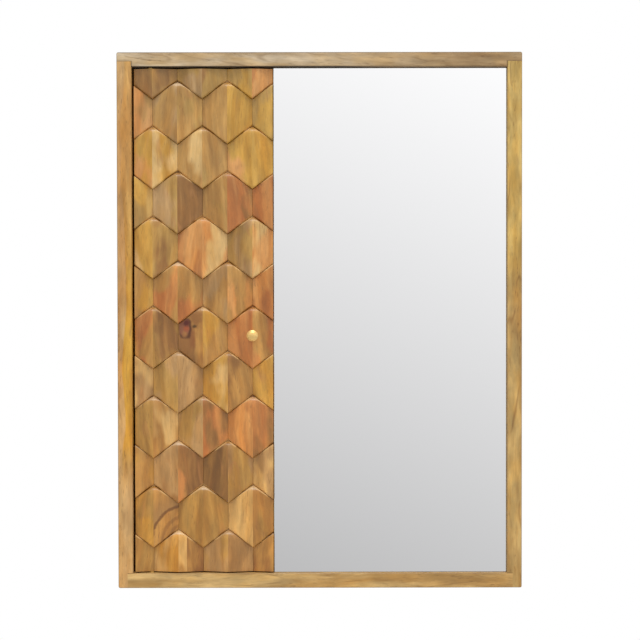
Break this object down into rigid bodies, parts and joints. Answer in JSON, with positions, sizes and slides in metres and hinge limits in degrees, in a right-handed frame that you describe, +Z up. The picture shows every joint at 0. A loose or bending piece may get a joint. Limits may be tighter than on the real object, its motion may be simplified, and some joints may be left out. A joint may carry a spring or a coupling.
{
  "type": "mirror cabinet",
  "caption": "Wall-hung solid wood mirror cabinet: a narrow carved hexagon-tile door swings open over shelves beside a fixed frameless mirror.",
  "frame": {"origin": "middle of the back face, on the wall plane", "axes": "+X right as the cabinet is looked at, +Y into the wall, +Z up"},
  "size_m": [0.6, 0.1464, 0.795],
  "materials": {
    "frame_wood": "satin lacquer",
    "carved_wood": "satin lacquer",
    "inner_wood": "satin lacquer",
    "back_plywood": "sanded",
    "mirror_backing": "raw board",
    "mirror_glass": "polished",
    "knob_brass": "polished",
    "hinge_steel": "blackened",
    "washer_brass": "plain",
    "zinc_steel": "zinc plated",
    "catch_plastic": "moulded",
    "catch_ferrite": "sintered",
    "bumper_rubber": "soft"
  },
  "bodies": {
    "cabinet": {"top_board": "frame_wood", "bottom_board": "frame_wood", "left_side": "frame_wood", "right_side": "frame_wood", "partition": "inner_wood", "shelf_lower": "inner_wood", "shelf_middle": "inner_wood", "shelf_upper": "inner_wood", "mirror_cleat_top": "inner_wood", "mirror_cleat_bottom": "inner_wood", "mirror_cleat_left": "inner_wood", "mirror_cleat_right": "inner_wood", "back_panel": "back_plywood", "mirror_board": "mirror_backing", "mirror_glass": "mirror_glass", "pivot_frame_plate_top": "hinge_steel", "pivot_frame_plate_bottom": "hinge_steel", "pivot_pin_top": "hinge_steel", "pivot_pin_bottom": "hinge_steel", "pivot_washer_top": "washer_brass", "pivot_washer_bottom": "washer_brass", "hanger_plate_left": "zinc_steel", "hanger_plate_right": "zinc_steel", "hanger_screws": "zinc_steel", "back_panel_pins": "zinc_steel", "mirror_board_screws": "zinc_steel", "pivot_frame_screws": "zinc_steel", "catch_screws": "zinc_steel", "catch_poles": "zinc_steel", "catch_housing": "catch_plastic", "catch_magnet": "catch_ferrite", "door_bumpers": "bumper_rubber"},
    "door": {"door_board": "inner_wood", "carved_tile_row_01": "carved_wood", "carved_tile_row_02": "carved_wood", "carved_tile_row_03": "carved_wood", "carved_tile_row_04": "carved_wood", "carved_tile_row_05": "carved_wood", "carved_tile_row_06": "carved_wood", "carved_tile_row_07": "carved_wood", "carved_tile_row_08": "carved_wood", "carved_tile_row_09": "carved_wood", "carved_tile_row_10": "carved_wood", "carved_tile_row_11": "carved_wood", "carved_tile_row_12": "carved_wood", "knob": "knob_brass", "knob_screw": "zinc_steel", "pivot_door_plate_top": "hinge_steel", "pivot_door_plate_bottom": "hinge_steel", "pivot_door_screws": "zinc_steel", "strike_plate": "zinc_steel", "strike_screws": "zinc_steel"}
  },
  "joints": [
    {"name": "door_hinge", "type": "hinge", "parent": "cabinet", "child": "door", "pos_m": [-0.2508, -0.115, 0], "axis": [0, 0, -1], "range_deg": [0, 110]}
  ]
}
